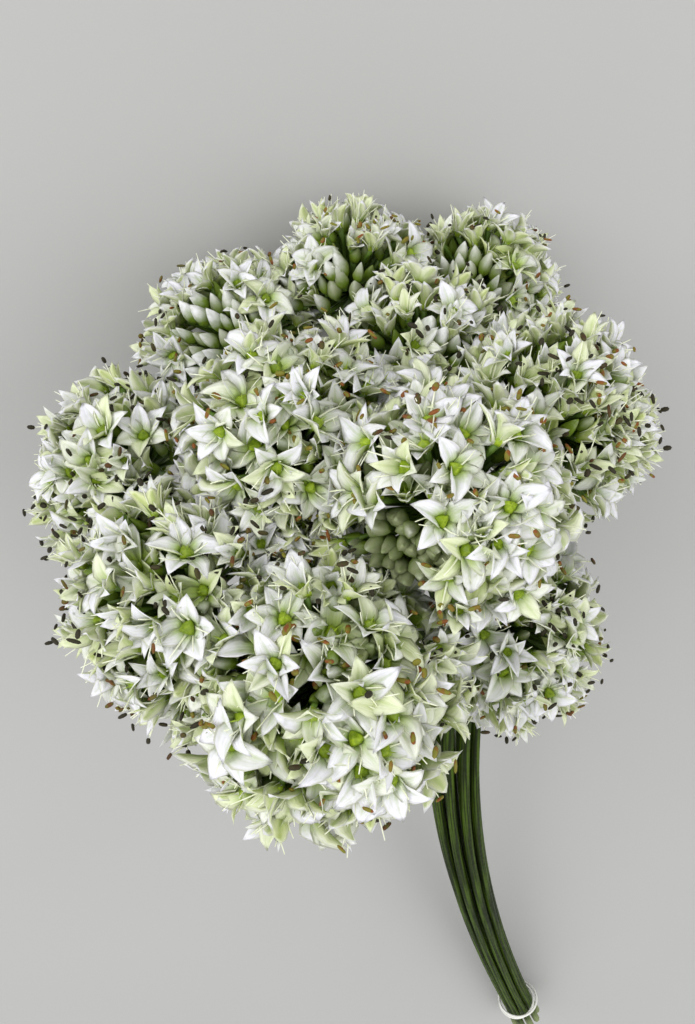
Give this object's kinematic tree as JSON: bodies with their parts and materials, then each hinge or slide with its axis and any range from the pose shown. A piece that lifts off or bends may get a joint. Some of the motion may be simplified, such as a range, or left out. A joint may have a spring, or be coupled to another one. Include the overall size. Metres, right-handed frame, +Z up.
{
  "type": "garlic chive flower bunch",
  "caption": "Tied bunch of garlic chive flower heads: round white umbels of starry florets and buds on long green stems, held by a thin elastic band, lying flat.",
  "frame": {"origin": "centre of the bounding box's base, on the surface that the bunch lies on", "axes": "+Y along the stems from the flower heads to the cut ends, +Z up from the surface"},
  "size_m": [0.1451, 0.4257, 0.133],
  "materials": {
    "petal_white": "soft matt white petals with pale green bases",
    "stem_green": "smooth, slightly waxy dark green stem",
    "band_white": "matt white elastic"
  },
  "bodies": {
    "root": {"elastic_band": "band_white", "stem_01": "stem_green", "stem_02": "stem_green", "stem_03": "stem_green", "stem_04": "stem_green", "stem_05": "stem_green", "stem_06": "stem_green", "stem_07": "stem_green", "stem_08": "stem_green", "stem_09": "stem_green", "stem_10": "stem_green", "stem_11": "stem_green", "umbel_01": "petal_white", "umbel_02": "petal_white", "umbel_03": "petal_white", "umbel_04": "petal_white", "umbel_05": "petal_white", "umbel_06": "petal_white", "umbel_07": "petal_white", "umbel_08": "petal_white", "umbel_09": "petal_white", "umbel_10": "petal_white", "umbel_11": "petal_white"}
  },
  "joints": []
}
